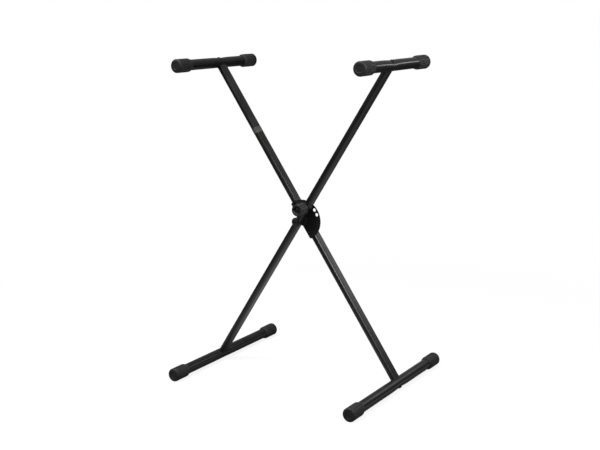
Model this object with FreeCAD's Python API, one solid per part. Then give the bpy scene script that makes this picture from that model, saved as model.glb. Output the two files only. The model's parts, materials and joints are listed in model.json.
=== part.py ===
import FreeCAD, Part
import math
import os

from FreeCAD import Vector

# Folding keyboard stand: two crossed legs on one pivot, each with a round foot bar
# below and a round arm above. A spring plunger on the front leg drops into the holes
# of a half-moon plate on the rear leg.
# Millimetres. X runs across the stand, Y from its front to its rear, Z up.
# The origin lies on the floor, below the middle of the foot bars.

# ---- Stand as a whole ----
FOOT_TO_PIVOT = 490.2     # along a leg, from the foot bar's axis
PIVOT_TO_ARM = 488.3      # along a leg, to the arm's axis
OPENING = 67.2            # angle between the two upper leg halves, degrees
FOOT_BAR_LENGTH = 470.0   # over both rubber caps
ARM_BAR_LENGTH = 336.4    # over both rubber caps
CROSSING_Y = -1.6         # middle of the pair of legs, and of the arms

# ---- Round bars and their rubber caps ----
BAR_DIAMETER = 28.0
BAR_WALL = 1.5
CAP_RUBBER = 3.7          # rubber around the bar
CAP_END = 4.0             # rubber beyond the end of the bar
CAP_SLEEVE = 50.5         # length pushed over the bar
CAP_TAPER = 9.0           # narrowing towards the bar
CAP_LIP = 0.9             # rubber left at the narrow edge
CAP_ROUNDING = 4.5        # rounding of the closed end
CAP_RIBS = 16
CAP_GROOVE_RADIUS = 1.7
CAP_GROOVE_LIFT = 0.15    # groove centre outside the corner between two ribs
CAP_DISC_RADIUS = 8.5     # shallow round recess in the closed end
CAP_DISC_DEPTH = 0.8

# ---- Legs: flat-oval tube, its round noses facing front and rear ----
LEG_WIDTH = 16.4
LEG_DEPTH = 30.4
LEG_WALL = 1.5
LEG_CORNER = 7.7          # almost half the width, so the noses are nearly half round
PLUG_LENGTH = 26.0        # threaded plug in each leg end
BAR_BOLT_DIAMETER = 6.0
BAR_BOLT_GRIP = 20.0      # thread in the plug
BAR_BOLT_HEAD_DIAMETER = 12.5
BAR_BOLT_HEAD_HEIGHT = 3.2
BAR_BOLT_HEAD_RIM = 1.0   # straight edge below the dome
BAR_BOLT_KEY = 4.0        # across the flats of the hexagon socket
BAR_BOLT_KEY_DEPTH = 1.6

# ---- Pivot ----
PIVOT_DIAMETER = 8.0
SLEEVE_DIAMETER = 12.0
THRUST_DIAMETER = 30.0
THRUST_THICKNESS = 1.9
PIVOT_SPACER_DIAMETER = 22.0
PIVOT_WASHER_DIAMETER = 24.0
PIVOT_WASHER_THICKNESS = 1.2
PIVOT_HEAD_DIAMETER = 21.0
PIVOT_HEAD_HEIGHT = 4.0
PIVOT_HEAD_RIM = 1.4
NUT_FLATS = 13.0
NUT_HEIGHT = 8.0
NUT_CHAMFER = 0.9
NUT_COLLAR_DIAMETER = 12.0
NUT_COLLAR_HEIGHT = 2.0
PIVOT_END = 2.0           # bolt end beyond the nut

# ---- Half-moon locking plate ----
PLATE_RADIUS = 54.0
PLATE_THICKNESS = 3.0
PLATE_CORNER = 4.5
PLATE_INSET = 0.2         # straight edge inside the leg's left side
PLATE_STANDOFF = 0.9      # from the plate to the rear leg
HOLE_TO_EDGE = 7.0        # from the middle of a hole to the plate's round edge
HOLE_DIAMETER = 9.5
HOLE_PITCH = 17.2         # degrees between two heights
HOLES_ABOVE = 1           # heights above the one shown
HOLES_BELOW = 2           # heights below the one shown
FOLDED_OPENING = 4.4      # angle between the folded legs, degrees
RIVET_DIAMETER = 5.0
RIVET_HEAD_DIAMETER = 9.5
RIVET_HEAD_HEIGHT = 1.3
RIVET_HEAD_RIM = 0.3
RIVET_TAIL_DIAMETER = 6.4
RIVET_TAIL_LENGTH = 1.6
RIVET_TAIL_SETBACK = 0.9  # from the inside of the leg's nose, where the tail has room
STANDOFF_DIAMETER = 12.0
UPPER_RIVET = 27.0        # from the pivot, up along the rear leg
LOWER_RIVET = 34.0        # from the pivot, down along the rear leg

# ---- Spring plunger ----
PIN_DIAMETER = 9.0
PIN_LENGTH = 21.2         # thick part of the pin
PIN_TIP_GAP = 0.3         # pin tip in front of the plate when the knob is pulled
PIN_CHAMFER = 0.8
PIN_TRAVEL = 3.9          # its tip then stays clear of the folded rear leg
STEM_DIAMETER = 6.0
BARREL_DIAMETER = 13.0
BARREL_REACH = 5.0        # in front of the leg
BARREL_END = 3.0
FLANGE_DIAMETER = 16.0
FLANGE_THICKNESS = 2.0
SPRING_WIRE = 1.1
SPRING_TURNS = 7
KNOB_DIAMETER = 31.0
KNOB_LENGTH = 30.7
KNOB_HUB = 19.0           # solid middle of the knob
KNOB_DISH_DEPTH = 4.0
KNOB_DISH_RADIUS = 10.5
KNOB_DISH_FLOOR_RADIUS = 8.4
KNOB_SKIRT = 3.2          # wall around the barrel
KNOB_GRIPS = 18
KNOB_GRIP_RADIUS = 1.4
KNOB_GRIP_LIFT = 0.56     # flute centre outside the knob's edge
KNOB_EDGE = 1.6
KNOB_SCREW_DIAMETER = 4.0
KNOB_SCREW_HOLE = 10.0
KNOB_SCREW_LENGTH = 9.0
KNOB_SCREW_HEAD_DIAMETER = 8.0
KNOB_SCREW_HEAD_HEIGHT = 2.6
KNOB_SCREW_ROUNDING = 0.9
KNOB_SLOT_WIDTH = 1.1
KNOB_SLOT_LENGTH = 4.4
KNOB_SLOT_DEPTH = 1.3

# ---- Plain label round the rear leg ----
LABEL_LENGTH = 16.0
LABEL_FILM = 0.3
LABEL_FROM_ARM = 215.0    # from the arm axis, down along the leg

# ---- Clearances ----
PRESS_GAP = 0.05          # between pressed, threaded or welded pieces
RUN_GAP = 0.06            # radial, around the pivot and the pin
FACE_GAP = 0.2            # beside faces that turn on each other
STOP_GAP = 0.4            # between the pressed knob and the leg

# ---- Places that follow from the sizes ----
TILT = OPENING / 2
BAR_RADIUS = BAR_DIAMETER / 2
CAP_RADIUS = BAR_RADIUS + CAP_RUBBER
FOOT_X = FOOT_TO_PIVOT * math.sin(math.radians(TILT))
ARM_X = PIVOT_TO_ARM * math.sin(math.radians(TILT))
PIVOT_Z = CAP_RADIUS + FOOT_TO_PIVOT * math.cos(math.radians(TILT))
ARM_Z = PIVOT_Z + PIVOT_TO_ARM * math.cos(math.radians(TILT))
HOLE_CIRCLE = PLATE_RADIUS - HOLE_TO_EDGE
LEG_END = {1: PIVOT_TO_ARM, -1: -FOOT_TO_PIVOT}   # bar axis along an upright leg
LEG_GAP = FACE_GAP + THRUST_THICKNESS + PLATE_THICKNESS + PLATE_STANDOFF
FRONT_LEG_Y = CROSSING_Y - (LEG_GAP + LEG_DEPTH) / 2
REAR_LEG_Y = CROSSING_Y + (LEG_GAP + LEG_DEPTH) / 2
FRONT_LEG_FACE = FRONT_LEG_Y - LEG_DEPTH / 2
FRONT_LEG_BACK = FRONT_LEG_Y + LEG_DEPTH / 2
REAR_LEG_FACE = REAR_LEG_Y - LEG_DEPTH / 2
REAR_LEG_BACK = REAR_LEG_Y + LEG_DEPTH / 2
PLATE_BACK = REAR_LEG_FACE - PLATE_STANDOFF
PLATE_FACE = PLATE_BACK - PLATE_THICKNESS
PIN_TIP_Y = PLATE_FACE - PIN_TIP_GAP
SHOULDER_Y = PIN_TIP_Y - PIN_LENGTH
BARREL_FACE = FRONT_LEG_FACE - BARREL_REACH
SPRING_SEAT = BARREL_FACE + BARREL_END
KNOB_BACK = FRONT_LEG_FACE - STOP_GAP - PIN_TRAVEL
KNOB_FACE = KNOB_BACK - KNOB_LENGTH
KNOB_DISH_FLOOR = KNOB_FACE + KNOB_DISH_DEPTH

Y_AXIS = Vector(0, 1, 0)


def rod(diameter, y_start, y_end, x=0.0, z=0.0):
    """Round bar along Y between two places."""
    return Part.makeCylinder(diameter / 2, y_end - y_start, Vector(x, y_start, z), Y_AXIS)


def ring(outer, inner, y_start, y_end, z=0.0):
    """Washer, bush or spacer around an axis along Y."""
    return rod(outer, y_start, y_end, z=z).cut(rod(inner, y_start, y_end, z=z))


def hexagon(flats, y_start, y_end):
    """Hexagonal prism along Y around the pivot axis."""
    radius = flats / math.sqrt(3)
    corners = []
    for side in range(7):
        angle = math.radians(60 * side)
        corners.append(Vector(radius * math.cos(angle), y_start, radius * math.sin(angle)))
    return Part.Face(Part.makePolygon(corners)).extrude(Vector(0, y_end - y_start, 0))


def rounded_bar(width, depth, z_start, z_end, y_centre, corner):
    """Upright bar of rectangular section with rounded corners."""
    bar = Part.makeBox(width, depth, z_end - z_start,
                       Vector(-width / 2, y_centre - depth / 2, z_start))
    edges = [e for e in bar.Edges if abs(e.tangentAt(e.FirstParameter).z) > 0.99]
    return bar.makeFillet(corner, edges)


def spun(profile, axis_point, axis):
    """Solid of a closed profile, given as edges, turned once around an axis."""
    return Part.Face(Part.Wire(profile)).revolve(axis_point, axis, 360)


def on_leg(shape, tilt):
    """Move a piece drawn on an upright leg, with the pivot at its origin, to its place."""
    placed = shape.copy()
    placed.rotate(Vector(0, 0, 0), Y_AXIS, tilt)
    placed.translate(Vector(0, 0, PIVOT_Z))
    return placed


def bar_crossing(end, diameter):
    """Room taken by the round bar at the end of an upright leg (+1 arm, -1 foot)."""
    return rod(diameter, FRONT_LEG_FACE - LEG_WALL, REAR_LEG_BACK + LEG_WALL, z=LEG_END[end])


def leg_tube(y_centre, cuts):
    """Flat-oval tube with both ends cut to lie round the bars."""
    outside = rounded_bar(LEG_WIDTH, LEG_DEPTH, LEG_END[-1], LEG_END[1], y_centre, LEG_CORNER)
    inside = rounded_bar(LEG_WIDTH - 2 * LEG_WALL, LEG_DEPTH - 2 * LEG_WALL,
                         LEG_END[-1], LEG_END[1], y_centre, LEG_CORNER - LEG_WALL)
    tube = outside.cut(inside)
    for end in (-1, 1):
        tube = tube.cut(bar_crossing(end, BAR_DIAMETER + 2 * PRESS_GAP))
    for cut in cuts:
        tube = tube.cut(cut)
    return tube


def leg_plug(y_centre, end):
    """Plug with a threaded hole, pressed into one end of a leg (+1 top, -1 bottom)."""
    inner_end = LEG_END[end] - end * (BAR_RADIUS + PLUG_LENGTH)
    low, high = sorted((inner_end, LEG_END[end]))
    inner_width = LEG_WIDTH - 2 * LEG_WALL - 2 * PRESS_GAP
    inner_depth = LEG_DEPTH - 2 * LEG_WALL - 2 * PRESS_GAP
    plug = rounded_bar(inner_width, inner_depth, low, high, y_centre, LEG_CORNER - LEG_WALL)
    plug = plug.cut(bar_crossing(end, BAR_DIAMETER + 2 * PRESS_GAP))
    hole = Part.makeCylinder(BAR_BOLT_DIAMETER / 2 + PRESS_GAP, high - low,
                             Vector(0, y_centre, low))
    return plug.cut(hole)


def domed_head(diameter, height, rim, y_seat, z=0.0):
    """Round head that faces the front: a straight rim, then a dome."""
    radius = diameter / 2
    rise = height - rim
    dome_radius = (radius ** 2 + rise ** 2) / (2 * rise)
    half_angle = math.asin(radius / dome_radius) / 2
    y_crown = y_seat - height
    crown = Vector(0, y_crown, z)
    side = Vector(dome_radius * math.sin(half_angle),
                  y_crown + dome_radius * (1 - math.cos(half_angle)), z)
    rim_front = Vector(radius, y_seat - rim, z)
    rim_back = Vector(radius, y_seat, z)
    centre = Vector(0, y_seat, z)
    profile = [
        Part.Arc(crown, side, rim_front).toShape(),
        Part.LineSegment(rim_front, rim_back).toShape(),
        Part.LineSegment(rim_back, centre).toShape(),
        Part.LineSegment(centre, crown).toShape(),
    ]
    return spun(profile, centre, Y_AXIS)


def bar_bolt(y_centre, end):
    """Socket bolt through the bar into the plug, its domed head on the bar's far side."""
    head = domed_head(BAR_BOLT_HEAD_DIAMETER, BAR_BOLT_HEAD_HEIGHT, BAR_BOLT_HEAD_RIM, -BAR_RADIUS)
    shank = rod(BAR_BOLT_DIAMETER, -BAR_RADIUS, BAR_RADIUS + BAR_BOLT_GRIP)
    crown = -BAR_RADIUS - BAR_BOLT_HEAD_HEIGHT
    socket = hexagon(BAR_BOLT_KEY, crown, crown + BAR_BOLT_KEY_DEPTH)
    bolt = head.fuse(shank).cut(socket).removeSplitter()
    bolt.rotate(Vector(0, 0, 0), Vector(1, 0, 0), -90)
    if end < 0:
        bolt.rotate(Vector(0, 0, 0), Y_AXIS, 180)
    bolt.translate(Vector(0, y_centre, LEG_END[end]))
    return bolt


def round_bar(end, tilt, length, y_centre, leg_y):
    """Foot bar or arm: a round tube along Y, drilled through for its bolt."""
    half = length / 2 - CAP_END
    z_place = LEG_END[end]
    bar = rod(BAR_DIAMETER, y_centre - half, y_centre + half, z=z_place)
    bar = bar.cut(rod(BAR_DIAMETER - 2 * BAR_WALL, y_centre - half, y_centre + half, z=z_place))
    drill = Part.makeCylinder(BAR_BOLT_DIAMETER / 2 + PRESS_GAP, 2 * BAR_DIAMETER,
                              Vector(0, leg_y, z_place - BAR_DIAMETER))
    return on_leg(bar.cut(drill), tilt)


def cap_profile(corner_radius):
    """Half section of a rubber cap: X is the distance from the bar's axis, Y runs inward."""
    bore = BAR_RADIUS + PRESS_GAP
    total = CAP_END + CAP_SLEEVE
    lip_radius = bore + CAP_LIP
    shoulder = total - CAP_TAPER
    bend = CAP_ROUNDING * (1 - math.sqrt(0.5))
    disc_floor = Vector(CAP_DISC_RADIUS, CAP_DISC_DEPTH, 0)
    disc_edge = Vector(CAP_DISC_RADIUS + CAP_DISC_DEPTH, 0, 0)
    rounding_start = Vector(corner_radius - CAP_ROUNDING, 0, 0)
    rounding_middle = Vector(corner_radius - bend, bend, 0)
    rounding_end = Vector(corner_radius, CAP_ROUNDING, 0)
    taper_start = Vector(corner_radius, shoulder, 0)
    taper_end = Vector(lip_radius, total, 0)
    return [
        Part.LineSegment(Vector(0, CAP_DISC_DEPTH, 0), disc_floor).toShape(),
        Part.LineSegment(disc_floor, disc_edge).toShape(),
        Part.LineSegment(disc_edge, rounding_start).toShape(),
        Part.Arc(rounding_start, rounding_middle, rounding_end).toShape(),
        Part.LineSegment(rounding_end, taper_start).toShape(),
        Part.LineSegment(taper_start, taper_end).toShape(),
        Part.LineSegment(taper_end, Vector(bore, total, 0)).toShape(),
        Part.LineSegment(Vector(bore, total, 0), Vector(bore, CAP_END, 0)).toShape(),
        Part.LineSegment(Vector(bore, CAP_END, 0), Vector(0, CAP_END, 0)).toShape(),
        Part.LineSegment(Vector(0, CAP_END, 0), Vector(0, CAP_DISC_DEPTH, 0)).toShape(),
    ]


def rubber_cap(x, z, y_tip, inward):
    """Ribbed cap with flat ribs, one of them facing straight down and one straight up."""
    half_step = math.pi / CAP_RIBS
    corner_radius = CAP_RADIUS / math.cos(half_step)
    cap = spun(cap_profile(corner_radius), Vector(0, 0, 0), Y_AXIS)
    corners = []
    for rib in range(CAP_RIBS + 1):
        angle = (2 * rib + 1) * half_step
        corners.append(Vector(corner_radius * math.cos(angle), 0, corner_radius * math.sin(angle)))
    prism = Part.Face(Part.makePolygon(corners)).extrude(Vector(0, CAP_END + CAP_SLEEVE, 0))
    cap = cap.common(prism)
    groove_centre = corner_radius + CAP_GROOVE_LIFT
    grooves = []
    for rib in range(CAP_RIBS):
        angle = (2 * rib + 1) * half_step
        groove = rod(2 * CAP_GROOVE_RADIUS, CAP_ROUNDING, CAP_END + CAP_SLEEVE,
                     groove_centre * math.cos(angle), groove_centre * math.sin(angle))
        grooves.append(groove)
    cap = cap.cut(Part.makeCompound(grooves))
    if inward < 0:
        cap.rotate(Vector(0, 0, 0), Vector(0, 0, 1), 180)
    cap.translate(Vector(x, y_tip, z))
    return cap


def plate_angles():
    """Angles of the holes from the rear leg's upper half: the heights, then folded flat."""
    heights = [OPENING + HOLE_PITCH * step for step in range(-HOLES_ABOVE, HOLES_BELOW + 1)]
    return heights + [FOLDED_OPENING]


def locking_plate():
    """Half-moon plate on the upright rear leg, straight along the leg's left side."""
    straight = LEG_WIDTH / 2 - PLATE_INSET
    disc = rod(2 * PLATE_RADIUS, PLATE_FACE, PLATE_BACK)
    half = Part.makeBox(PLATE_RADIUS + straight, PLATE_THICKNESS, 2 * PLATE_RADIUS,
                        Vector(-straight, PLATE_FACE, -PLATE_RADIUS))
    plate = disc.common(half)
    tips = []
    for edge in plate.Edges:
        is_across = abs(edge.tangentAt(edge.FirstParameter).y) > 0.99
        at_straight = abs(edge.CenterOfMass.x + straight) < 0.01
        if is_across and at_straight:
            tips.append(edge)
    plate = plate.makeFillet(PLATE_CORNER, tips)
    for angle in plate_angles():
        x = HOLE_CIRCLE * math.sin(math.radians(angle))
        z = HOLE_CIRCLE * math.cos(math.radians(angle))
        plate = plate.cut(rod(HOLE_DIAMETER, PLATE_FACE, PLATE_BACK, x, z))
    plate = plate.cut(rod(PIVOT_DIAMETER + 2 * PRESS_GAP, PLATE_FACE, PLATE_BACK))
    for z in (UPPER_RIVET, -LOWER_RIVET):
        plate = plate.cut(rod(RIVET_DIAMETER + 2 * PRESS_GAP, PLATE_FACE, PLATE_BACK, z=z))
    return plate


def plate_rivet(z):
    """Rivet through the plate, its spacer and the front wall of the rear leg."""
    tail_start = REAR_LEG_FACE + LEG_WALL + RIVET_TAIL_SETBACK
    head = domed_head(RIVET_HEAD_DIAMETER, RIVET_HEAD_HEIGHT, RIVET_HEAD_RIM, PLATE_FACE, z)
    shank = rod(RIVET_DIAMETER, PLATE_FACE, tail_start, z=z)
    tail = rod(RIVET_TAIL_DIAMETER, tail_start, tail_start + RIVET_TAIL_LENGTH, z=z)
    return head.fuse(shank).fuse(tail).removeSplitter()


def pivot_bolt():
    """Bolt through both legs: low domed head in front, thread end behind."""
    seat = FRONT_LEG_FACE - FACE_GAP - PIVOT_WASHER_THICKNESS
    head = domed_head(PIVOT_HEAD_DIAMETER, PIVOT_HEAD_HEIGHT, PIVOT_HEAD_RIM, seat)
    end = REAR_LEG_BACK + PIVOT_WASHER_THICKNESS + NUT_HEIGHT + PIVOT_END
    return head.fuse(rod(PIVOT_DIAMETER, seat, end)).removeSplitter()


def lock_nut():
    """Hexagon nut with chamfered corners and a round collar for its locking ring."""
    seat = REAR_LEG_BACK + PIVOT_WASHER_THICKNESS
    collar_start = seat + NUT_HEIGHT - NUT_COLLAR_HEIGHT
    turned = rod(2 * NUT_FLATS / math.sqrt(3), seat, collar_start)
    turned = turned.makeChamfer(NUT_CHAMFER, [e for e in turned.Edges if len(e.Vertexes) == 1])
    nut = hexagon(NUT_FLATS, seat, collar_start).common(turned)
    nut = nut.fuse(rod(NUT_COLLAR_DIAMETER, collar_start, seat + NUT_HEIGHT))
    return nut.cut(rod(PIVOT_DIAMETER + 2 * PRESS_GAP, seat, seat + NUT_HEIGHT))


def plunger_barrel():
    """Barrel through the front leg that guides the pin and holds the spring."""
    barrel = rod(BARREL_DIAMETER, BARREL_FACE, FRONT_LEG_BACK, z=HOLE_CIRCLE)
    flange = rod(FLANGE_DIAMETER, FRONT_LEG_FACE - FLANGE_THICKNESS, FRONT_LEG_FACE, z=HOLE_CIRCLE)
    barrel = barrel.fuse(flange).removeSplitter()
    barrel = barrel.cut(rod(PIN_DIAMETER + 2 * RUN_GAP, SPRING_SEAT, FRONT_LEG_BACK, z=HOLE_CIRCLE))
    return barrel.cut(rod(STEM_DIAMETER + 2 * RUN_GAP, BARREL_FACE, SPRING_SEAT, z=HOLE_CIRCLE))


def plunger_pin():
    """Stepped pin: the thick end drops into the plate, the stem carries the knob."""
    thick = rod(PIN_DIAMETER, SHOULDER_Y, PIN_TIP_Y, z=HOLE_CIRCLE)
    tip_edges = [e for e in thick.Edges if abs(e.CenterOfMass.y - PIN_TIP_Y) < 0.01]
    thick = thick.makeChamfer(PIN_CHAMFER, tip_edges)
    stem = rod(STEM_DIAMETER, KNOB_DISH_FLOOR, SHOULDER_Y, z=HOLE_CIRCLE)
    thread = rod(KNOB_SCREW_DIAMETER + 2 * PRESS_GAP, KNOB_DISH_FLOOR,
                 KNOB_DISH_FLOOR + KNOB_SCREW_HOLE, z=HOLE_CIRCLE)
    return thick.fuse(stem).cut(thread)


def helix_arcs(radius, y_start, y_end, turns):
    """Coil along Y, drawn as one arc for each quarter of a turn."""
    quarters = 4 * turns

    def place(step):
        angle = math.radians(90 * step)
        y = y_start + (y_end - y_start) * step / quarters
        return Vector(radius * math.cos(angle), y, HOLE_CIRCLE + radius * math.sin(angle))

    arcs = []
    for quarter in range(quarters):
        arcs.append(Part.Arc(place(quarter), place(quarter + 0.5), place(quarter + 1)).toShape())
    return Part.Wire(arcs)


def plunger_spring():
    """Coil spring between the pin's shoulder and the end of the barrel."""
    margin = SPRING_WIRE / 2 + PRESS_GAP
    coil_radius = (STEM_DIAMETER + PIN_DIAMETER) / 4
    path = helix_arcs(coil_radius, SPRING_SEAT + margin, SHOULDER_Y - margin, SPRING_TURNS)
    first = path.Edges[0]
    start = first.valueAt(first.FirstParameter)
    direction = first.tangentAt(first.FirstParameter)
    section = Part.Wire(Part.makeCircle(SPRING_WIRE / 2, start, direction))
    return path.makePipeShell([section], True, False)


def pull_knob():
    """Round knob: dished face, grip flutes, and a skirt around the barrel."""
    knob = rod(KNOB_DIAMETER, KNOB_FACE, KNOB_BACK, z=HOLE_CIRCLE)
    rims = [e for e in knob.Edges if abs(e.tangentAt(e.FirstParameter).y) < 0.01]
    knob = knob.makeFillet(KNOB_EDGE, rims)
    dish = Part.makeCone(KNOB_DISH_RADIUS, KNOB_DISH_FLOOR_RADIUS, KNOB_DISH_DEPTH,
                         Vector(0, KNOB_FACE, HOLE_CIRCLE), Y_AXIS)
    knob = knob.cut(dish)
    skirt_bore = KNOB_DIAMETER - 2 * KNOB_SKIRT
    knob = knob.cut(rod(skirt_bore, KNOB_DISH_FLOOR + KNOB_HUB, KNOB_BACK, z=HOLE_CIRCLE))
    knob = knob.cut(rod(STEM_DIAMETER + 2 * PRESS_GAP, KNOB_FACE, KNOB_BACK, z=HOLE_CIRCLE))
    flute_circle = KNOB_DIAMETER / 2 + KNOB_GRIP_LIFT
    flutes = []
    for grip in range(KNOB_GRIPS):
        angle = 2 * math.pi * grip / KNOB_GRIPS
        flutes.append(rod(2 * KNOB_GRIP_RADIUS, KNOB_FACE, KNOB_BACK,
                          flute_circle * math.cos(angle),
                          HOLE_CIRCLE + flute_circle * math.sin(angle)))
    return knob.cut(Part.makeCompound(flutes))


def knob_screw():
    """Screw in the dish of the knob, into the pin's stem, with a crossed slot."""
    head_face = KNOB_DISH_FLOOR - KNOB_SCREW_HEAD_HEIGHT
    head = rod(KNOB_SCREW_HEAD_DIAMETER, head_face, KNOB_DISH_FLOOR, z=HOLE_CIRCLE)
    face_edges = [e for e in head.Edges if abs(e.CenterOfMass.y - head_face) < 0.01]
    head = head.makeFillet(KNOB_SCREW_ROUNDING, face_edges)
    for width, height in ((KNOB_SLOT_LENGTH, KNOB_SLOT_WIDTH), (KNOB_SLOT_WIDTH, KNOB_SLOT_LENGTH)):
        head = head.cut(Part.makeBox(width, KNOB_SLOT_DEPTH, height,
                                     Vector(-width / 2, head_face, HOLE_CIRCLE - height / 2)))
    shank = rod(KNOB_SCREW_DIAMETER, KNOB_DISH_FLOOR, KNOB_DISH_FLOOR + KNOB_SCREW_LENGTH,
                z=HOLE_CIRCLE)
    return head.fuse(shank).removeSplitter()


def leg_label():
    """Plain film round the rear leg, below the arm."""
    middle = PIVOT_TO_ARM - LABEL_FROM_ARM
    low, high = middle - LABEL_LENGTH / 2, middle + LABEL_LENGTH / 2
    outside = rounded_bar(LEG_WIDTH + 2 * LABEL_FILM, LEG_DEPTH + 2 * LABEL_FILM,
                          low, high, REAR_LEG_Y, LEG_CORNER + LABEL_FILM)
    return outside.cut(rounded_bar(LEG_WIDTH, LEG_DEPTH, low, high, REAR_LEG_Y, LEG_CORNER))


def bars_and_ends(leg, side, tilt, leg_y):
    """Foot bar, arm, caps, plugs and bolts of one leg; its arm leans to the given side."""
    names = {1: {-1: "left_arm", 1: "right_arm"}, -1: {-1: "left_foot", 1: "right_foot"}}
    end_words = {1: "top", -1: "bottom"}
    pieces = {}
    for end in (1, -1):
        bar_side = side * end
        name = names[end][bar_side]
        length = ARM_BAR_LENGTH if end > 0 else FOOT_BAR_LENGTH
        middle = CROSSING_Y if end > 0 else 0.0
        x = bar_side * (ARM_X if end > 0 else FOOT_X)
        z = ARM_Z if end > 0 else CAP_RADIUS
        pieces[name + "_tube"] = round_bar(end, tilt, length, middle, leg_y)
        pieces[name + "_front_cap"] = rubber_cap(x, z, middle - length / 2, 1)
        pieces[name + "_rear_cap"] = rubber_cap(x, z, middle + length / 2, -1)
        pieces[leg + "_" + end_words[end] + "_plug"] = on_leg(leg_plug(leg_y, end), tilt)
        pieces[name + "_bolt"] = on_leg(bar_bolt(leg_y, end), tilt)
    return pieces


def rear_leg():
    """Everything that stays with the rear leg, half-moon plate and pivot bolt included."""
    tilt = -TILT
    sleeve_bore = PIVOT_DIAMETER + 2 * RUN_GAP
    loose_bore = PIVOT_DIAMETER + 2 * PRESS_GAP
    hub = {
        "rear_leg_tube": leg_tube(REAR_LEG_Y, [
            rod(SLEEVE_DIAMETER + 2 * PRESS_GAP, REAR_LEG_FACE, REAR_LEG_BACK),
            rod(RIVET_DIAMETER + 2 * PRESS_GAP, REAR_LEG_FACE, REAR_LEG_Y, z=UPPER_RIVET),
            rod(RIVET_DIAMETER + 2 * PRESS_GAP, REAR_LEG_FACE, REAR_LEG_Y, z=-LOWER_RIVET)]),
        "rear_leg_sleeve": ring(SLEEVE_DIAMETER, sleeve_bore, REAR_LEG_FACE, REAR_LEG_BACK),
        "locking_plate": locking_plate(),
        "plate_standoffs": Part.makeCompound([
            ring(STANDOFF_DIAMETER, RIVET_DIAMETER + 2 * PRESS_GAP, PLATE_BACK, REAR_LEG_FACE, z=z)
            for z in (UPPER_RIVET, -LOWER_RIVET)]),
        "plate_rivets": Part.makeCompound([plate_rivet(UPPER_RIVET), plate_rivet(-LOWER_RIVET)]),
        "pivot_spacer": ring(PIVOT_SPACER_DIAMETER, loose_bore, PLATE_BACK, REAR_LEG_FACE),
        "thrust_washer": ring(THRUST_DIAMETER, loose_bore,
                              PLATE_FACE - THRUST_THICKNESS, PLATE_FACE),
        "pivot_bolt": pivot_bolt(),
        "pivot_head_washer": ring(PIVOT_WASHER_DIAMETER, loose_bore,
                                  FRONT_LEG_FACE - FACE_GAP - PIVOT_WASHER_THICKNESS,
                                  FRONT_LEG_FACE - FACE_GAP),
        "pivot_nut_washer": ring(PIVOT_WASHER_DIAMETER, loose_bore, REAR_LEG_BACK,
                                 REAR_LEG_BACK + PIVOT_WASHER_THICKNESS),
        "pivot_lock_nut": lock_nut(),
        "leg_label": leg_label(),
    }
    pieces = {name: on_leg(shape, tilt) for name, shape in hub.items()}
    pieces.update(bars_and_ends("rear_leg", -1, tilt, REAR_LEG_Y))
    return pieces


def front_leg():
    """Everything that turns with the front leg, and the plunger in it."""
    tilt = TILT
    hub = {
        "front_leg_tube": leg_tube(FRONT_LEG_Y, [
            rod(SLEEVE_DIAMETER + 2 * PRESS_GAP, FRONT_LEG_FACE, FRONT_LEG_BACK),
            rod(BARREL_DIAMETER + 2 * PRESS_GAP, FRONT_LEG_FACE, FRONT_LEG_BACK, z=HOLE_CIRCLE)]),
        "front_leg_sleeve": ring(SLEEVE_DIAMETER, PIVOT_DIAMETER + 2 * RUN_GAP,
                                 FRONT_LEG_FACE, FRONT_LEG_BACK),
        "plunger_barrel": plunger_barrel(),
        "plunger_spring": plunger_spring(),
        "plunger_pin": plunger_pin(),
        "pull_knob": pull_knob(),
        "knob_screw": knob_screw(),
    }
    pieces = {name: on_leg(shape, tilt) for name, shape in hub.items()}
    pieces.update(bars_and_ends("front_leg", 1, tilt, FRONT_LEG_Y))
    return pieces


def main():
    os.makedirs("parts", exist_ok=True)
    pieces = rear_leg()
    pieces.update(front_leg())
    for name, shape in pieces.items():
        shape.exportStep("parts/" + name + ".step")
        print(name, "solids", len(shape.Solids), "valid", shape.isValid(),
              "volume", round(shape.Volume, 1))


main()
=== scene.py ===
import bmesh
import bpy
import json
import math
from mathutils import Matrix, Vector


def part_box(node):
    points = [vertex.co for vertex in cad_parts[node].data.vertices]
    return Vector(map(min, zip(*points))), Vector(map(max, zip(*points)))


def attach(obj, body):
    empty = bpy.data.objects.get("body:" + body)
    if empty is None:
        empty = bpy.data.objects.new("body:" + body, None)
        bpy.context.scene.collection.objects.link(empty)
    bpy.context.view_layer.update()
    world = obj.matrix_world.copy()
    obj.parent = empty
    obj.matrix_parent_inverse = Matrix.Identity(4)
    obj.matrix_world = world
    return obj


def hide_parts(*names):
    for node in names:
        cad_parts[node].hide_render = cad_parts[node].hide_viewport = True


# Folding keyboard stand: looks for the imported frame. Metres, the frame's own axes.
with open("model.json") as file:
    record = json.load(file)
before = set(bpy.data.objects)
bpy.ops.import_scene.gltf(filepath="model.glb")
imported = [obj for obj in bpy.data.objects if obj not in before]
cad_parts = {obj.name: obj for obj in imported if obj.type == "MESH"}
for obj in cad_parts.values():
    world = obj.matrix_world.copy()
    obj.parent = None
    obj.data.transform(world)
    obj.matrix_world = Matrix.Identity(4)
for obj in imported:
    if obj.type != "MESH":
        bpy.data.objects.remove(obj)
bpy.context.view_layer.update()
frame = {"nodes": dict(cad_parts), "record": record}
scene = bpy.context.scene
nodes = frame["nodes"]

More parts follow.
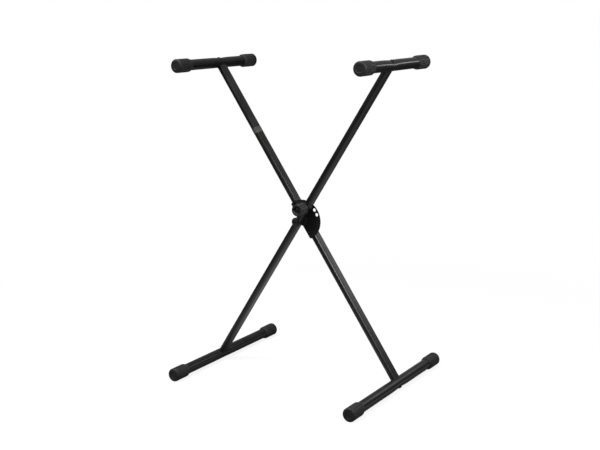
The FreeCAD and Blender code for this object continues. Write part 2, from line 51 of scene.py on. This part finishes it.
# ---- Places on the stand ----
PIVOT = Vector(frame["record"]["behaviour"]["joints"][0]["pos_m"])
PIN_LOW, PIN_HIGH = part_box("plunger_pin")
PLUNGER = (PIN_LOW + PIN_HIGH) / 2
HOLE_ROW_RADIUS = math.hypot(PLUNGER.x - PIVOT.x, PLUNGER.z - PIVOT.z)
FOOT_LOW, FOOT_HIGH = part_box("right_foot_tube")
FOOT_X = (FOOT_LOW.x + FOOT_HIGH.x) / 2
LEG_SLOPE = math.radians(33.6)      # of either leg from upright
LEG_SINE = math.sin(LEG_SLOPE)
LEG_COSINE = math.cos(LEG_SLOPE)

# ---- Colours in linear light; a pair is the darker and the lighter tone of one finish ----
LEG_PAINT = (0.0046, 0.0044, 0.0043), (0.0078, 0.0075, 0.0073)
BAR_PAINT = (0.0048, 0.0042, 0.0039), (0.0075, 0.0066, 0.0062)
PLATE_PAINT = (0.0068, 0.0058, 0.0078), (0.0104, 0.0092, 0.0118)
PAINT_AT_CORNERS = (0.085, 0.082, 0.078)
PAINT_SCRATCHED = (0.07, 0.068, 0.066)
PAINT_RUBBED = (0.055, 0.053, 0.051)
PAINT_DUST = (0.26, 0.25, 0.235)
RUBBER = (0.0105, 0.0105, 0.0108), (0.021, 0.021, 0.0215)
RUBBER_AT_CRESTS = (0.06, 0.06, 0.06)
RUBBER_DUST = (0.2, 0.195, 0.19)
PLASTIC = (0.013, 0.0135, 0.0165), (0.022, 0.0225, 0.027)
PLASTIC_AT_CORNERS = (0.075, 0.077, 0.085)
PLASTIC_DUST = (0.22, 0.22, 0.22)
BLACK_ZINC = (0.03, 0.03, 0.031), (0.055, 0.054, 0.053)
BRIGHT_ZINC = (0.42, 0.43, 0.45), (0.6, 0.6, 0.61)
PLAIN_STEEL = (0.32, 0.32, 0.33), (0.48, 0.48, 0.48)
METAL_AT_CORNERS = (0.5, 0.49, 0.47)
FILM = (0.05, 0.043, 0.039), (0.075, 0.066, 0.06)
FILM_AT_CORNERS = (0.16, 0.15, 0.14)
BLACK = (0.0, 0.0, 0.0)
WHITE = (1.0, 1.0, 1.0)

TONE_RANGE = 0.3, 0.7        # the part of a noise's values that its mask spreads over


# ---- Node helpers ----
def add(tree, kind, **settings):
    made = tree.nodes.new(kind)
    for name, value in settings.items():
        setattr(made, name, value)
    return made


def fill(tree, socket, value):
    """Links a socket, or sets a number, a vector or a colour without its alpha."""
    if isinstance(value, bpy.types.NodeSocket):
        tree.links.new(value, socket)
    elif socket.type == "RGBA":
        socket.default_value = (*value, 1.0)
    else:
        socket.default_value = value


def wire(tree, target, **values):
    """Fills sockets of a node by their names, with _ for a space."""
    for name, value in values.items():
        fill(tree, target.inputs[name.replace("_", " ")], value)
    return target


def calc(tree, operation, first, second=0.0, third=0.0, clamp=False):
    made = add(tree, "ShaderNodeMath", operation=operation, use_clamp=clamp)
    for place, value in enumerate((first, second, third)):
        fill(tree, made.inputs[place], value)
    return made.outputs[0]


def band(tree, value, low, high, to_low=0.0, to_high=1.0):
    """Smooth step from to_low, where the value is low, to to_high, where it is high."""
    made = add(tree, "ShaderNodeMapRange", interpolation_type="SMOOTHSTEP")
    for place, given in enumerate((value, low, high, to_low, to_high)):
        fill(tree, made.inputs[place], given)
    return made.outputs[0]


def blend(tree, factor, first, second):
    made = add(tree, "ShaderNodeMix", data_type="RGBA")
    for place, value in ((0, factor), (6, first), (7, second)):
        fill(tree, made.inputs[place], value)
    return made.outputs[2]


def object_place(tree):
    return add(tree, "ShaderNodeTexCoord").outputs["Object"]


def noise(tree, place, scale, detail, **others):
    made = wire(tree, add(tree, "ShaderNodeTexNoise"), Vector=place, Scale=scale, Detail=detail,
                **others)
    return made.outputs["Fac"]


def new_group(name, inputs, outputs):
    """Shader node group with named number inputs and outputs."""
    tree = bpy.data.node_groups.new(name, "ShaderNodeTree")
    for label, default in inputs.items():
        socket = tree.interface.new_socket(label, in_out="INPUT", socket_type="NodeSocketFloat")
        socket.default_value = default
    for label in outputs:
        tree.interface.new_socket(label, in_out="OUTPUT", socket_type="NodeSocketFloat")
    return tree, add(tree, "NodeGroupInput"), add(tree, "NodeGroupOutput")


def place_group(tree, group, **values):
    return wire(tree, add(tree, "ShaderNodeGroup", node_tree=group), **values).outputs


# ---- Effects that several finishes share ----
def powder_skin_group():
    """Orange-peel skin of baked powder paint, and its slow change of tone."""
    tree, given, out = new_group("powder_skin", {"Cell Size": 0.0014}, ("Height", "Tone"))
    place = object_place(tree)
    per_metre = calc(tree, "DIVIDE", 1.0, given.outputs["Cell Size"])
    cells = wire(tree, add(tree, "ShaderNodeTexVoronoi", feature="SMOOTH_F1"),
                 Vector=place, Scale=per_metre, Smoothness=1.0, Randomness=0.9)
    grit = noise(tree, place, calc(tree, "MULTIPLY", per_metre, 3.0), 2.0)
    grit_share = 0.35
    height = calc(tree, "MULTIPLY_ADD", grit, grit_share, cells.outputs["Distance"])
    tree.links.new(height, out.inputs["Height"])
    tree.links.new(noise(tree, place, 16.0, 5.0, Roughness=0.6), out.inputs["Tone"])
    return tree


def worn_edge_group():
    """Mask of corners where the finish has been rubbed, broken up so that it isn't even."""
    tree, given, out = new_group("worn_edge", {"Width": 0.0012, "Amount": 0.5}, ("Mask",))
    rounded = wire(tree, add(tree, "ShaderNodeBevel", samples=6), Radius=given.outputs["Width"])
    facing = add(tree, "ShaderNodeVectorMath", operation="DOT_PRODUCT")
    tree.links.new(rounded.outputs[0], facing.inputs[0])
    tree.links.new(add(tree, "ShaderNodeNewGeometry").outputs["Normal"], facing.inputs[1])
    flat, sharp = 0.995, 0.86       # how far the rounded and the true normal agree
    corner = band(tree, facing.outputs["Value"], flat, sharp)
    patches = noise(tree, object_place(tree), 55.0, 8.0, Roughness=0.7)
    kept = band(tree, patches, 0.45, 0.62)
    mask = calc(tree, "MULTIPLY", calc(tree, "MULTIPLY", corner, kept), given.outputs["Amount"],
                clamp=True)
    tree.links.new(mask, out.inputs["Mask"])
    return tree


def scratch_group():
    """Mask of a few hair-thin scratches that run mostly along one slope."""
    tree, given, out = new_group("hair_scratches", {"Slope": 0.6, "Amount": 1.0}, ("Mask",))
    place = object_place(tree)
    turned = add(tree, "ShaderNodeVectorRotate", rotation_type="Y_AXIS")
    tree.links.new(place, turned.inputs["Vector"])
    tree.links.new(given.outputs["Slope"], turned.inputs["Angle"])
    hair_edge, hair_core = 0.006, 0.001
    found = []
    for stretch, offset in (((260.0, 90.0, 9.0), 0.0), ((70.0, 240.0, 14.0), 3.0)):
        mapped = wire(tree, add(tree, "ShaderNodeMapping"), Vector=turned.outputs[0],
                      Scale=stretch, Location=(offset, offset, offset))
        grain = noise(tree, mapped.outputs[0], 1.0, 1.0, Distortion=0.4)
        away = calc(tree, "ABSOLUTE", calc(tree, "SUBTRACT", grain, 0.5))
        found.append(band(tree, away, hair_edge, hair_core))
    both = calc(tree, "MAXIMUM", found[0], found[1])
    here = band(tree, noise(tree, place, 28.0, 3.0), 0.52, 0.68)
    mask = calc(tree, "MULTIPLY", calc(tree, "MULTIPLY", both, here), given.outputs["Amount"],
                clamp=True)
    tree.links.new(mask, out.inputs["Mask"])
    return tree


def dust_group():
    """Mask of the fine dust that settles on surfaces that face up."""
    tree, given, out = new_group("settled_dust", {"Amount": 0.3}, ("Mask",))
    coordinates = add(tree, "ShaderNodeTexCoord")
    split = add(tree, "ShaderNodeSeparateXYZ")
    tree.links.new(coordinates.outputs["Normal"], split.inputs[0])
    up = band(tree, split.outputs["Z"], 0.25, 1.0)
    place = coordinates.outputs["Object"]
    fine = band(tree, noise(tree, place, 420.0, 6.0, Roughness=0.75), 0.42, 0.72)
    soft = band(tree, noise(tree, place, 22.0, 3.0), 0.35, 0.65)
    lying = calc(tree, "MULTIPLY", calc(tree, "MULTIPLY", fine, soft), up)
    mask = calc(tree, "MULTIPLY", lying, given.outputs["Amount"], clamp=True)
    tree.links.new(mask, out.inputs["Mask"])
    return tree


def ring_group():
    """Distance from an axis along Y, and a mask of a ring that a washer or a lathe leaves."""
    tree, given, out = new_group("ring_about_axis", {"Axis X": 0.0, "Axis Z": 0.0, "Radius": 0.01,
                                                     "Half Width": 0.002}, ("Mask", "Distance"))
    split = add(tree, "ShaderNodeSeparateXYZ")
    tree.links.new(object_place(tree), split.inputs[0])
    across = calc(tree, "SUBTRACT", split.outputs["X"], given.outputs["Axis X"])
    height = calc(tree, "SUBTRACT", split.outputs["Z"], given.outputs["Axis Z"])
    squares = calc(tree, "MULTIPLY_ADD", height, height, calc(tree, "MULTIPLY", across, across))
    distance = calc(tree, "SQRT", squares)
    off = calc(tree, "ABSOLUTE", calc(tree, "SUBTRACT", distance, given.outputs["Radius"]))
    share = calc(tree, "DIVIDE", off, given.outputs["Half Width"])
    tree.links.new(band(tree, share, 1.0, 0.4), out.inputs["Mask"])
    tree.links.new(distance, out.inputs["Distance"])
    return tree


powder_skin = powder_skin_group()
worn_edge = worn_edge_group()
hair_scratches = scratch_group()
settled_dust = dust_group()
ring_about_axis = ring_group()


# ---- Finishes ----
def new_finish(name, metallic=0.0, specular=0.5, coat=0.0, coat_roughness=0.1):
    material = bpy.data.materials.new(name)
    material.use_nodes = True
    tree = material.node_tree
    tree.nodes.clear()
    shader = wire(tree, add(tree, "ShaderNodeBsdfPrincipled"), Metallic=metallic,
                  Specular_IOR_Level=specular, Coat_Weight=coat, Coat_Roughness=coat_roughness)
    output = add(tree, "ShaderNodeOutputMaterial")
    tree.links.new(shader.outputs[0], output.inputs[0])
    return material, tree, shader


def two_tones(tree, pattern, pair, low=TONE_RANGE[0], high=TONE_RANGE[1]):
    return blend(tree, band(tree, pattern, low, high), *pair)


def raise_skin(tree, shader, height, distance, strength):
    bump = wire(tree, add(tree, "ShaderNodeBump"), Height=height, Distance=distance,
                Strength=strength)
    tree.links.new(bump.outputs[0], shader.inputs["Normal"])


def paint_finish(name, tones, gloss, slope, dust, edge, rings=(), skin_depth=0.000008,
                 specular=0.32):
    """Baked black powder paint: orange peel, worn corners, scratches, rubbed rings and dust."""
    material, tree, shader = new_finish(name, specular=specular)
    skin = place_group(tree, powder_skin, Cell_Size=0.0013)
    worn = place_group(tree, worn_edge, Width=0.0011, Amount=edge)
    marks = place_group(tree, hair_scratches, Slope=slope, Amount=0.8)
    film = place_group(tree, settled_dust, Amount=dust)
    colour = two_tones(tree, skin["Tone"], tones)
    colour = blend(tree, worn["Mask"], colour, PAINT_AT_CORNERS)
    colour = blend(tree, calc(tree, "MULTIPLY", marks["Mask"], 0.5), colour, PAINT_SCRATCHED)
    roughness = band(tree, skin["Tone"], 0.25, 0.75, gloss, gloss + 0.1)
    for axis, radius, half_width in rings:
        ring = place_group(tree, ring_about_axis, Axis_X=axis.x, Axis_Z=axis.z, Radius=radius,
                           Half_Width=half_width)
        rubbed = calc(tree, "MULTIPLY", ring["Mask"], 0.7)
        colour = blend(tree, calc(tree, "MULTIPLY", rubbed, 0.5), colour, PAINT_RUBBED)
        roughness = calc(tree, "MULTIPLY_ADD", rubbed, -0.14, roughness)
    colour = blend(tree, film["Mask"], colour, PAINT_DUST)
    roughness = calc(tree, "MULTIPLY_ADD", film["Mask"], 0.3, roughness)
    wire(tree, shader, Base_Color=colour, Roughness=roughness)
    raise_skin(tree, shader, skin["Height"], skin_depth, 0.5)
    return material


def rubber_finish(name):
    """Moulded black rubber: fine grain, a grey bloom and paler rubbed crests."""
    material, tree, shader = new_finish(name, specular=0.35)
    place = object_place(tree)
    bloom = noise(tree, place, 34.0, 6.0, Roughness=0.65)
    worn = place_group(tree, worn_edge, Width=0.0007, Amount=0.55)
    film = place_group(tree, settled_dust, Amount=0.16)
    colour = two_tones(tree, bloom, RUBBER, low=0.35)
    colour = blend(tree, worn["Mask"], colour, RUBBER_AT_CRESTS)
    colour = blend(tree, film["Mask"], colour, RUBBER_DUST)
    wire(tree, shader, Base_Color=colour, Roughness=band(tree, bloom, *TONE_RANGE, 0.52, 0.7))
    raise_skin(tree, shader, noise(tree, place, 2600.0, 3.0), 0.00003, 0.6)
    return material


def plastic_finish(name):
    """Moulded blue-black plastic with a spark-eroded grain, shinier in random patches."""
    material, tree, shader = new_finish(name)
    place = object_place(tree)
    grain = wire(tree, add(tree, "ShaderNodeTexVoronoi", feature="SMOOTH_F1"), Vector=place,
                 Scale=1900.0, Smoothness=1.0)
    smear = noise(tree, place, 90.0, 4.0)
    worn = place_group(tree, worn_edge, Width=0.0008, Amount=0.6)
    film = place_group(tree, settled_dust, Amount=0.2)
    colour = two_tones(tree, smear, PLASTIC)
    colour = blend(tree, worn["Mask"], colour, PLASTIC_AT_CORNERS)
    colour = blend(tree, film["Mask"], colour, PLASTIC_DUST)
    wire(tree, shader, Base_Color=colour, Roughness=band(tree, smear, *TONE_RANGE, 0.3, 0.44))
    raise_skin(tree, shader, grain.outputs["Distance"], 0.00005, 0.5)
    return material


def metal_finish(name, tones, gloss, axis, metallic=1.0):
    """Turned and plated steel: fine rings about an axis along Y, and a mottled plating."""
    material, tree, shader = new_finish(name, metallic=metallic)
    grooves_per_metre = 2600.0
    ring = place_group(tree, ring_about_axis, Axis_X=axis.x, Axis_Z=axis.z)
    turning = calc(tree, "MULTIPLY", ring["Distance"], grooves_per_metre * math.tau)
    mottle = noise(tree, object_place(tree), 260.0, 5.0)
    worn = place_group(tree, worn_edge, Width=0.0005, Amount=0.5)
    colour = blend(tree, worn["Mask"], two_tones(tree, mottle, tones), METAL_AT_CORNERS)
    roughness = band(tree, mottle, *TONE_RANGE, gloss, gloss + 0.12)
    wire(tree, shader, Base_Color=colour, Roughness=roughness)
    raise_skin(tree, shader, calc(tree, "SINE", turning), 0.000012, 0.35)
    return material


def film_finish(name):
    """Plain smooth film, a little browner and shinier than the paint, dull at its cut edges."""
    material, tree, shader = new_finish(name, coat=0.3, coat_roughness=0.18)
    place = object_place(tree)
    soil = noise(tree, place, 60.0, 6.0)
    worn = place_group(tree, worn_edge, Width=0.0012, Amount=0.8)
    colour = blend(tree, worn["Mask"], two_tones(tree, soil, FILM), FILM_AT_CORNERS)
    wire(tree, shader, Base_Color=colour, Roughness=band(tree, soil, *TONE_RANGE, 0.3, 0.42))
    raise_skin(tree, shader, noise(tree, place, 140.0, 2.0), 0.0001, 0.4)
    return material


washer_rub = PIVOT, 0.0128, 0.0012
flange_rub = PLUNGER, 0.0155, 0.0014
pin_rub = PIVOT, HOLE_ROW_RADIUS, 0.0048
front_leg_paint = paint_finish("front_leg_paint", LEG_PAINT, gloss=0.32, slope=-LEG_SLOPE,
                               dust=0.22, edge=0.7, rings=(washer_rub, flange_rub), specular=0.5)
rear_leg_paint = paint_finish("rear_leg_paint", LEG_PAINT, gloss=0.32, slope=LEG_SLOPE,
                              dust=0.22, edge=0.7, rings=(washer_rub,), specular=0.5)
bar_paint = paint_finish("bar_paint", BAR_PAINT, gloss=0.17, slope=0.0, dust=0.12, edge=0.5,
                         skin_depth=0.000001, specular=0.35)
plate_paint = paint_finish("plate_paint", PLATE_PAINT, gloss=0.42, slope=0.9, dust=0.12,
                           edge=0.8, rings=(pin_rub,))
black_zinc = metal_finish("black_zinc", BLACK_ZINC, 0.3, PIVOT, metallic=0.85)

FINISH_OF_SLOT = {
    "leg_paint": front_leg_paint,
    "bar_paint": bar_paint,
    "plate_paint": plate_paint,
    "cap_rubber": rubber_finish("cap_rubber"),
    "knob_plastic": plastic_finish("knob_plastic"),
    "label_film": film_finish("label_film"),
    "washer_nylon": plastic_finish("black_nylon"),
    "bolt_black": black_zinc,
    "plug_steel": metal_finish("plain_steel", PLAIN_STEEL, 0.32, PLUNGER),
    "zinc_steel": metal_finish("bright_zinc", BRIGHT_ZINC, 0.26, PIVOT),
}
slot_of_node = {part["node"]: part["material_slot"] for part in frame["record"]["subparts"]}
for node_name, piece in nodes.items():
    finish = FINISH_OF_SLOT[slot_of_node[node_name]]
    piece.data.materials.clear()
    piece.data.materials.append(rear_leg_paint if node_name == "rear_leg_tube" else finish)


# ---- Bars pressed in by their bolts ----
SEAT_DEPTH = 0.0018       # how far the bolt's head has drawn the tube in
SEAT_REACH = 0.021        # along the bar, on either side of the bolt
BAR_WALL = 0.0015
BOLT_HOLE_RADIUS = 0.00325
HEAD_CLEARANCE = 0.0001   # the bolt's head starts this little below the bar's crest
BAR_SIDES = 128
FINE_STEP = 0.0012        # between rings of points near the bolt
FINE_LENGTH = 0.048       # of that stretch, on either side of the bolt
COARSE_STEP = 0.012       # between rings of points farther out
SMOOTH_BELOW = math.radians(35)


def finish_piece(shape, name, node_name, finish):
    """Turns a shape into the piece that is seen in place of a node."""
    mesh = bpy.data.meshes.new(name)
    shape.to_mesh(mesh)
    shape.free()
    mesh.shade_smooth()
    mesh.set_sharp_from_angle(angle=SMOOTH_BELOW)
    mesh.materials.append(finish)
    piece = bpy.data.objects.new(name, mesh)
    scene.collection.objects.link(piece)
    bodies = frame["record"]["behaviour"]["bodies"]
    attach(piece, next(body for body, members in bodies.items() if node_name in members))
    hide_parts(node_name)


def bar_frame(bar_name, bolt_name):
    """Where the bar's axis meets the bolt's, the way the bolt points outward, the radius."""
    low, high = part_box(bar_name)
    bolt_low, bolt_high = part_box(bolt_name)
    centre = (low + high) / 2
    origin = Vector((centre.x, (bolt_low.y + bolt_high.y) / 2, centre.z))
    outward = Vector((math.copysign(LEG_SINE, centre.x), 0.0,
                      math.copysign(LEG_COSINE, centre.z - PIVOT.z)))
    return origin, outward, (high.z - low.z) / 2


def bar_stations(low, high, bolt):
    """Places along a bar, close together where the bolt has pressed it."""
    count = int(FINE_LENGTH / FINE_STEP)
    places = [bolt + FINE_STEP * step for step in range(-count, count + 1)]
    for bound, edge in ((low, places[0]), (high, places[-1])):
        count = math.ceil(abs(bound - edge) / COARSE_STEP)
        places += [edge + (bound - edge) * step / count for step in range(1, count + 1)]
    return sorted(places)


def off_axis(point, origin, axis):
    away = point - origin
    return away - axis * away.dot(axis)


def pressed_bar(name, bolt_name):
    """The painted tube again, drawn in and a little flattened where its bolt holds it."""
    low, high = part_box(name)
    origin, outward, radius = bar_frame(name, bolt_name)
    head = math.atan2(outward.z, outward.x)
    shape = bmesh.new()
    rings = []
    for y in bar_stations(low.y, high.y, origin.y):
        ring = []
        near = math.exp(-((y - origin.y) / SEAT_REACH) ** 2)
        for side in range(BAR_SIDES):
            angle = head + math.tau * (side + 0.5) / BAR_SIDES
            pressed = SEAT_DEPTH * near * max(math.cos(angle - head), 0.0) ** 2
            reach = radius - pressed
            ring.append(shape.verts.new((origin.x + reach * math.cos(angle), y,
                                         origin.z + reach * math.sin(angle))))
        rings.append(ring)
    for first, second in zip(rings, rings[1:]):
        for side in range(BAR_SIDES):
            after = (side + 1) % BAR_SIDES
            shape.faces.new((first[side], first[after], second[after], second[side]))
    drilled = [face for face in shape.faces
               if off_axis(face.calc_center_median(), origin, outward).length < BOLT_HOLE_RADIUS]
    bmesh.ops.delete(shape, geom=drilled, context="FACES")
    for vert in shape.verts:
        if vert.is_boundary and abs(vert.co.y - origin.y) < 2 * BOLT_HOLE_RADIUS:
            across = off_axis(vert.co, origin, outward)
            vert.co += across.normalized() * BOLT_HOLE_RADIUS - across
    bmesh.ops.recalc_face_normals(shape, faces=shape.faces[:])
    bmesh.ops.solidify(shape, geom=shape.faces[:], thickness=BAR_WALL)
    bmesh.ops.recalc_face_normals(shape, faces=shape.faces[:])
    finish_piece(shape, name + "_pressed", name, bar_paint)


def seated_bolt(name, bar_name):
    """The bolt again, its head drawn down into the pressed place."""
    origin, outward, radius = bar_frame(bar_name, name)
    shape = bmesh.new()
    shape.from_mesh(nodes[name].data)
    bmesh.ops.transform(shape, matrix=nodes[name].matrix_world, verts=shape.verts[:])
    for vert in shape.verts:
        if (vert.co - origin).dot(outward) > radius - HEAD_CLEARANCE:
            vert.co -= outward * SEAT_DEPTH
    bmesh.ops.recalc_face_normals(shape, faces=shape.faces[:])
    finish_piece(shape, name + "_seated", name, black_zinc)


for bar in ("left_arm", "right_arm", "left_foot", "right_foot"):
    pressed_bar(bar + "_tube", bar + "_bolt")
    seated_bolt(bar + "_bolt", bar + "_tube")


# ---- Floor and room ----
FLOOR_RADIUS = 2.4
SHADOW_RADIUS = 0.7       # the floor keeps the whole shadow up to here
FADE_RADIUS = 1.5         # plain white from here on
FLOOR_PALE = 0.16
FLOOR_LIFT = 0.85         # what the floor gives off itself where it keeps the shadow
MIRRORED_UNDER = 0.48     # shares of the floor's paleness that the paint mirrors:
MIRRORED_NEAR = 0.18      # shares of a glow that the floor shows only in reflections, a painted reflection on the paint: more of it under the legs, less near them, hardly any far off
MIRRORED_FAR = 0.04
ACROSS_SHARE = 0.45       # the mirrored patch is that much longer across than it is deep
UNDER_EDGE = 0.5, 0.2
NEAR_EDGE = 1.2, 0.9
# Painted shadow: near the feet the floor's glow in reflections is dimmed, over these spans across
# X and along Y
FOOT_SHADE_X = 0.1, 0.04
FOOT_SHADE_Y = 0.34, 0.24


def painted_reflection_share(tree, place):
    """How brightly the floor glows in reflections only, by the place on the floor: a painted
    reflection on the paint, dimmed near the feet as a painted shadow.
    """
    split = add(tree, "ShaderNodeSeparateXYZ")
    tree.links.new(place, split.inputs[0])
    squeezed = wire(tree, add(tree, "ShaderNodeCombineXYZ"), Y=split.outputs["Y"],
                    X=calc(tree, "MULTIPLY", split.outputs["X"], ACROSS_SHARE))
    out_from_legs = add(tree, "ShaderNodeVectorMath", operation="LENGTH")
    tree.links.new(squeezed.outputs[0], out_from_legs.inputs[0])
    away = out_from_legs.outputs["Value"]
    under = band(tree, away, *UNDER_EDGE, 0.0, MIRRORED_UNDER)
    near = band(tree, away, *NEAR_EDGE, MIRRORED_FAR, MIRRORED_NEAR)
    # Painted shadow of the feet in the floor's reflected glow
    off_foot = calc(tree, "ABSOLUTE", calc(
        tree, "SUBTRACT", calc(tree, "ABSOLUTE", split.outputs["X"]), FOOT_X))
    foot_shade = calc(tree, "MULTIPLY", band(tree, off_foot, *FOOT_SHADE_X),
                      band(tree, calc(tree, "ABSOLUTE", split.outputs["Y"]), *FOOT_SHADE_Y))
    return calc(tree, "MULTIPLY", calc(tree, "ADD", under, near),
                calc(tree, "SUBTRACT", 1.0, foot_shade))


def make_floor():
    """Pale floor that keeps the shadow near the stand and runs out into plain white."""
    shape = bmesh.new()
    bmesh.ops.create_circle(shape, cap_ends=True, segments=96, radius=FLOOR_RADIUS)
    mesh = bpy.data.meshes.new("floor")
    shape.to_mesh(mesh)
    shape.free()
    floor = bpy.data.objects.new("floor", mesh)
    scene.collection.objects.link(floor)
    material = bpy.data.materials.new("pale_floor")
    material.use_nodes = True
    tree = material.node_tree
    tree.nodes.clear()
    place = object_place(tree)
    away = add(tree, "ShaderNodeVectorMath", operation="LENGTH")
    tree.links.new(place, away.inputs[0])
    far = band(tree, away.outputs["Value"], SHADOW_RADIUS, FADE_RADIUS)
    diffuse = wire(tree, add(tree, "ShaderNodeBsdfDiffuse"),
                   Color=blend(tree, far, (FLOOR_PALE,) * 3, BLACK))
    seen = add(tree, "ShaderNodeLightPath")
    # Painted reflection: glossy rays see the floor glow by its place
    painted_reflection = calc(tree, "MULTIPLY", seen.outputs["Is Glossy Ray"], painted_reflection_share(tree, place))
    shown = calc(tree, "MAXIMUM", seen.outputs["Is Camera Ray"], painted_reflection)
    shown = calc(tree, "MAXIMUM", shown, seen.outputs["Is Transmission Ray"])
    lift = calc(tree, "MULTIPLY_ADD", far, 1.0 - FLOOR_LIFT, FLOOR_LIFT)
    glow = wire(tree, add(tree, "ShaderNodeEmission"), Color=WHITE,
                Strength=calc(tree, "MULTIPLY", shown, lift))
    both = add(tree, "ShaderNodeAddShader")
    tree.links.new(diffuse.outputs[0], both.inputs[0])
    tree.links.new(glow.outputs[0], both.inputs[1])
    output = add(tree, "ShaderNodeOutputMaterial")
    tree.links.new(both.outputs[0], output.inputs[0])
    mesh.materials.append(material)


BACK_WALL = 0.3           # light of the wall behind the stand
DIM_ROOM = 0.09           # light of the rest of the room
BEHIND = 0.5, 0.85        # Y of directions in which the wall begins
ABOVE = -0.04, 0.02
TO_RIGHT = 0.05, 0.35     # low on the right the wall is unlit
LOW_DOWN = 0.3, 0.1


def make_room():
    """White where the camera sees it; for light and mirroring, a wall behind in a dim room."""
    world = bpy.data.worlds.new("studio")
    scene.world = world
    world.use_nodes = True
    tree = world.node_tree
    tree.nodes.clear()
    seen = add(tree, "ShaderNodeLightPath")
    shown = calc(tree, "MAXIMUM", seen.outputs["Is Camera Ray"],
                 seen.outputs["Is Transmission Ray"])
    split = add(tree, "ShaderNodeSeparateXYZ")
    tree.links.new(add(tree, "ShaderNodeTexCoord").outputs["Generated"], split.inputs[0])
    behind_above = calc(tree, "MULTIPLY", band(tree, split.outputs["Y"], *BEHIND),
                        band(tree, split.outputs["Z"], *ABOVE))
    unlit = calc(tree, "MULTIPLY", band(tree, split.outputs["X"], *TO_RIGHT),
                 band(tree, split.outputs["Z"], *LOW_DOWN))
    wall = calc(tree, "MULTIPLY", behind_above, calc(tree, "SUBTRACT", 1.0, unlit))
    room = calc(tree, "MULTIPLY_ADD", wall, BACK_WALL - DIM_ROOM, DIM_ROOM)
    strength = add(tree, "ShaderNodeMix", data_type="FLOAT")
    for place, value in ((0, shown), (2, room), (3, 1.0)):
        fill(tree, strength.inputs[place], value)
    background = wire(tree, add(tree, "ShaderNodeBackground"), Color=WHITE,
                      Strength=strength.outputs[0])
    output = add(tree, "ShaderNodeOutputWorld")
    tree.links.new(background.outputs[0], output.inputs[0])


# ---- Lamps: name, place, point it faces, width, height, watts, spread in degrees ----
MIDDLE = (0.0, 0.0, 0.42)
LAMPS = (
    ("overhead", (-0.4, -0.4, 2.6), MIDDLE, 1.8, 1.8, 38.0, 180.0),
    ("front", (-0.9, -1.5, 2.9), MIDDLE, 1.2, 1.2, 62.0, 180.0),
    ("arm_light", (0.474, 0.43, 0.936), (0.27, 0.43, 0.83), 0.42, 0.07, 0.34, 180.0),
    ("rear_right", (0.48, 0.74, 0.64), (0.12, 0.0, 0.27), 0.4, 0.4, 0.09, 60.0),
    ("right_side", (1.09, -0.25, 1.14), (0.1, 0.0, 0.28), 0.7, 0.4, 12.0, 180.0),
)


def make_lamp(name, place, target, width, height, watts, spread):
    light = bpy.data.lights.new(name, "AREA")
    light.shape = "RECTANGLE"
    light.size = width
    light.size_y = height
    light.energy = watts
    light.spread = math.radians(spread)
    lamp = bpy.data.objects.new(name, light)
    scene.collection.objects.link(lamp)
    aim = (Vector(target) - Vector(place)).to_track_quat("-Z", "Y")
    lamp.matrix_world = Matrix.Translation(place) @ aim.to_matrix().to_4x4()
    lamp.visible_camera = False


# ---- Camera ----
CAMERA_PLACE = (1.41924, -2.18263, 0.95956)
CAMERA_RIGHT = Vector((0.83861, 0.54441, -0.01903))
CAMERA_UP = Vector((-0.09646, 0.18278, 0.97841))
SENSOR_WIDTH_MM = 36.0
FOCAL_LENGTH_MM = 60.432
FARTHEST_SEEN = 50.0


def make_camera():
    lens = bpy.data.cameras.new("camera")
    lens.sensor_width = SENSOR_WIDTH_MM
    lens.lens = FOCAL_LENGTH_MM
    lens.clip_end = FARTHEST_SEEN
    camera = bpy.data.objects.new("camera", lens)
    scene.collection.objects.link(camera)
    axes = Matrix((CAMERA_RIGHT, CAMERA_UP, CAMERA_RIGHT.cross(CAMERA_UP))).transposed()
    camera.matrix_world = Matrix.Translation(CAMERA_PLACE) @ axes.to_4x4()
    bpy.context.scene.camera = camera


make_floor()
make_room()
for lamp_row in LAMPS:
    make_lamp(*lamp_row)
make_camera()
bpy.context.scene.view_settings.view_transform = "Standard"
